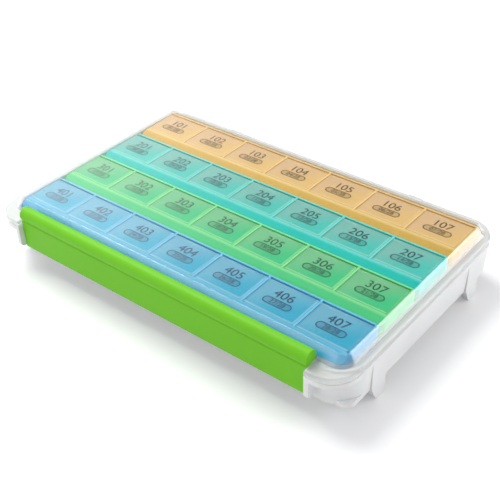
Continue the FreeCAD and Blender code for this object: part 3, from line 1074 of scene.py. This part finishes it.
@dataclass
class DayMarks:
    """The print on one week's flip lids.

    Attributes:
        lids: The lids that carry the print.
        number_size: Size of the number's figures.
        plate_length: Length of the plate.
        plate_height: Height of the plate.
        plate_text_size: Size of the plate's figures.
        plate_drop: Distance from the number's middle to the plate's middle.
        number_place: Number's middle, from the front left corner of the lid's plate.
        stroke_width: Width of the strokes that thicken the number.
        outline_width: Width of the plate's outline.
        lift: Height of the print above the lid.
        ink_cover: Share that the full ink covers.
        wash_cover: Share that the plate's wash covers.
    """

    lids: FlipLids
    number_size: float = 7.2 * MM
    plate_length: float = 14.8 * MM
    plate_height: float = 4.1 * MM
    plate_text_size: float = 3.7 * MM
    plate_drop: float = 5.7 * MM
    number_place: tuple[float, float] = (13.2 * MM, 12.8 * MM)
    stroke_width: float = 0.12 * MM
    outline_width: float = 0.56 * MM
    lift: float = 0.03 * MM
    ink_cover: float = 0.85
    wash_cover: float = 0.15

    def build(self, organizer: Organizer, tree: MarkTree) -> None:
        """Print every lid's mark.

        Args:
            organizer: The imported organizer.
            tree: The mark's Geometry Nodes.
        """
        week = self.lids.week
        tones = WeekTones.of(week)
        ink = PrintInk(f"{week.name.lower()}_print", tones.ink, self.ink_cover).material()
        wash = PrintInk(f"{week.name.lower()}_plate", tones.ink, self.wash_cover).material()
        for column in range(1, self.lids.columns + 1):
            lid = self.lids.name(column)
            mesh = tree.mesh(self._inputs(column, ink, wash))
            place = self.lids.plate_corner(column) + Vector((*self.number_place, self.lift))
            mesh.transform(Matrix.Translation(place))
            piece = bpy.data.objects.new(f"{lid}_mark", mesh)
            bpy.context.scene.collection.objects.link(piece)
            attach(piece, lid)
            LOG.info("%s: print of %d faces", piece.name, len(mesh.polygons))

    def _inputs(self, column: int, ink: bpy.types.Material,
                wash: bpy.types.Material) -> dict[str, object]:
        """The tree's inputs for one lid.

        Args:
            column: The lid's place in its row, from 1.
            ink: Material of the figures and the outline.
            wash: Material of the plate.

        Returns:
            Values by the input's name.
        """
        week = self.lids.week.value
        return {"Number": f"{week}{column:02d}", "Plate Text": self.day_of_month(column),
                "Number Size": self.number_size, "Plate Length": self.plate_length,
                "Plate Height": self.plate_height, "Plate Text Size": self.plate_text_size,
                "Plate Drop": self.plate_drop, "Stroke Width": self.stroke_width,
                "Outline Width": self.outline_width, "Ink": ink, "Wash": wash}

    def day_of_month(self, column: int) -> str:
        """The running day and the last one, as the plate shows them, such as 01/28."""
        day = (self.lids.week.value - 1) * self.lids.columns + column
        return f"{day:02d}/{len(Week) * self.lids.columns}"


@dataclass(frozen=True)
class SoftLamp:
    """A square soft lamp aimed at the middle of the object.

    Attributes:
        name: The lamp's name.
        place: Its position.
        size: Its side.
        power: Its power in watts.
    """

    name: str
    place: tuple[float, float, float]
    size: float
    power: float

    def build(self) -> None:
        """Put the lamp up."""
        data = bpy.data.lights.new(self.name, "AREA")
        data.size = self.size
        data.energy = self.power
        lamp = bpy.data.objects.new(self.name, data)
        lamp.location = self.place
        lamp.rotation_euler = (-Vector(self.place)).to_track_quat("-Z", "Y").to_euler()
        bpy.context.scene.collection.objects.link(lamp)


@dataclass
class Studio:
    """Floor, light and camera.

    Attributes:
        camera_place: Camera position.
        azimuth: View direction round the object, in degrees.
        elevation: Camera's height angle, in degrees.
        roll: Camera's roll, in degrees.
        sensor: Width of the camera's sensor in millimetres.
        lens: Its focal length in millimetres.
        lamps: The soft lamps.
        floor_size: Half the floor's side.
        paper: Linear colour of the floor.
        surroundings: Strength of the even light from all round.
        pale: Distances from the origin where the floor starts to grow paler and is palest.
        glow: Strength of the floor's own light near the object and far from it.
        reflected: Range of the direction's x that the reflected surroundings are graded
            over, then their strengths at its two ends.
    """

    camera_place: tuple[float, float, float] = (252.3 * MM, -292.7 * MM, 292.5 * MM)
    azimuth: float = 40.25
    elevation: float = 36.37
    roll: float = -2.37
    sensor: float = 36.0
    lens: float = 66.5
    lamps: tuple[SoftLamp, ...] = (SoftLamp("key", (-0.45, 0.08, 0.75), 0.5, 6.6),
                                   SoftLamp("front_fill", (-0.38, -0.82, 0.44), 0.8, 2.0),
                                   SoftLamp("side_panel", (0.73, 0.61, 0.31), 0.5, 3.8))
    floor_size: float = 6.0
    paper: Colour = (0.86, 0.86, 0.87)
    surroundings: float = 0.46
    pale: tuple[float, float] = (0.4, 1.1)
    glow: tuple[float, float] = (0.16, 0.62)
    reflected: tuple[float, float, float, float] = (-0.74, -0.48, 1.15, 0.14)

    def build(self) -> None:
        """Make the floor, the lights and the camera."""
        self._floor()
        self._world()
        for lamp in self.lamps:
            lamp.build()
        self._camera()

    def _floor(self) -> None:
        """A wide pale floor under the feet."""
        mesh = bpy.data.meshes.new("floor")
        shape = bmesh.new()
        bmesh.ops.create_grid(shape, x_segments=1, y_segments=1, size=self.floor_size)
        shape.to_mesh(mesh)
        shape.free()
        floor = bpy.data.objects.new("floor", mesh)
        bpy.context.scene.collection.objects.link(floor)
        graph = Graph.named("floor_paper")
        paper = graph.node("ShaderNodeBsdfDiffuse", Color=(*self.paper, 1))
        place = graph.node("ShaderNodeTexCoord").outputs["Object"]
        away = graph.node("ShaderNodeVectorMath", {"operation": "LENGTH"}, Vector=place)
        strength = graph.eased(away.outputs["Value"], *self.pale, *self.glow)
        glow = graph.node("ShaderNodeEmission", Color=(1, 1, 1, 1), Strength=strength)
        both = graph.node("ShaderNodeAddShader")
        graph.fill(both.inputs[0], paper.outputs[0])
        graph.fill(both.inputs[1], glow.outputs[0])
        bounced = graph.node("ShaderNodeLightPath").outputs["Is Diffuse Ray"]
        shader = graph.mixed_shader(bounced, both.outputs[0], paper.outputs[0])
        mesh.materials.append(graph.output(shader))

    def _world(self) -> None:
        """Even pale surroundings, graded where gloss mirrors them and white behind all."""
        graph = Graph(bpy.data.worlds.new("studio"))
        white = (1, 1, 1, 1)
        sky = graph.node("ShaderNodeBackground", Color=white, Strength=self.surroundings)
        source = graph.node("ShaderNodeTexCoord").outputs["Generated"]
        direction = graph.node("ShaderNodeSeparateXYZ", Vector=source)
        graded = graph.eased(direction.outputs["X"], *self.reflected)
        mirrored = graph.node("ShaderNodeBackground", Color=white, Strength=graded)
        behind = graph.node("ShaderNodeBackground", Color=white, Strength=1.0)
        path = graph.node("ShaderNodeLightPath").outputs
        glossy = graph.maths("MAXIMUM", path["Is Glossy Ray"], path["Is Transmission Ray"])
        shader = graph.mixed_shader(glossy, sky.outputs[0], mirrored.outputs[0])
        shader = graph.mixed_shader(path["Is Camera Ray"], shader, behind.outputs[0])
        bpy.context.scene.world = graph.output(shader)

    def _camera(self) -> None:
        """The photograph's view."""
        azimuth, elevation, roll = (math.radians(angle) for angle in
                                    (self.azimuth, self.elevation, self.roll))
        back = Vector((math.sin(azimuth) * math.cos(elevation),
                       -math.cos(azimuth) * math.cos(elevation), math.sin(elevation)))
        right = Vector((math.cos(azimuth), math.sin(azimuth), 0))
        up = back.cross(right)
        across = right * math.cos(roll) + up * math.sin(roll)
        upright = up * math.cos(roll) - right * math.sin(roll)
        data = bpy.data.cameras.new("camera")
        data.lens = self.lens
        data.sensor_width = self.sensor
        data.clip_start = 0.01
        camera = bpy.data.objects.new("camera", data)
        turn = Matrix((across, upright, back)).transposed().to_4x4()
        camera.matrix_world = Matrix.Translation(self.camera_place) @ turn
        bpy.context.scene.collection.objects.link(camera)
        bpy.context.scene.camera = camera


def main() -> None:
    """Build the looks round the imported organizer."""
    logging.basicConfig(level=logging.INFO, format="%(message)s")
    organizer = Organizer.loaded()
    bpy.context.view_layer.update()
    bpy.context.scene.view_settings.view_transform = "Standard"
    CaseTray().build(organizer)
    CaseLid().build(organizer)
    LatchBar().build(organizer)
    tree = MarkTree()
    for week in Week:
        WeeklyBox(week).build(organizer)
        lids = FlipLids(week)
        lids.build(organizer)
        DayMarks(lids).build(organizer, tree)
    Studio().build()
    bpy.context.view_layer.update()


if __name__ == "__main__":
    main()
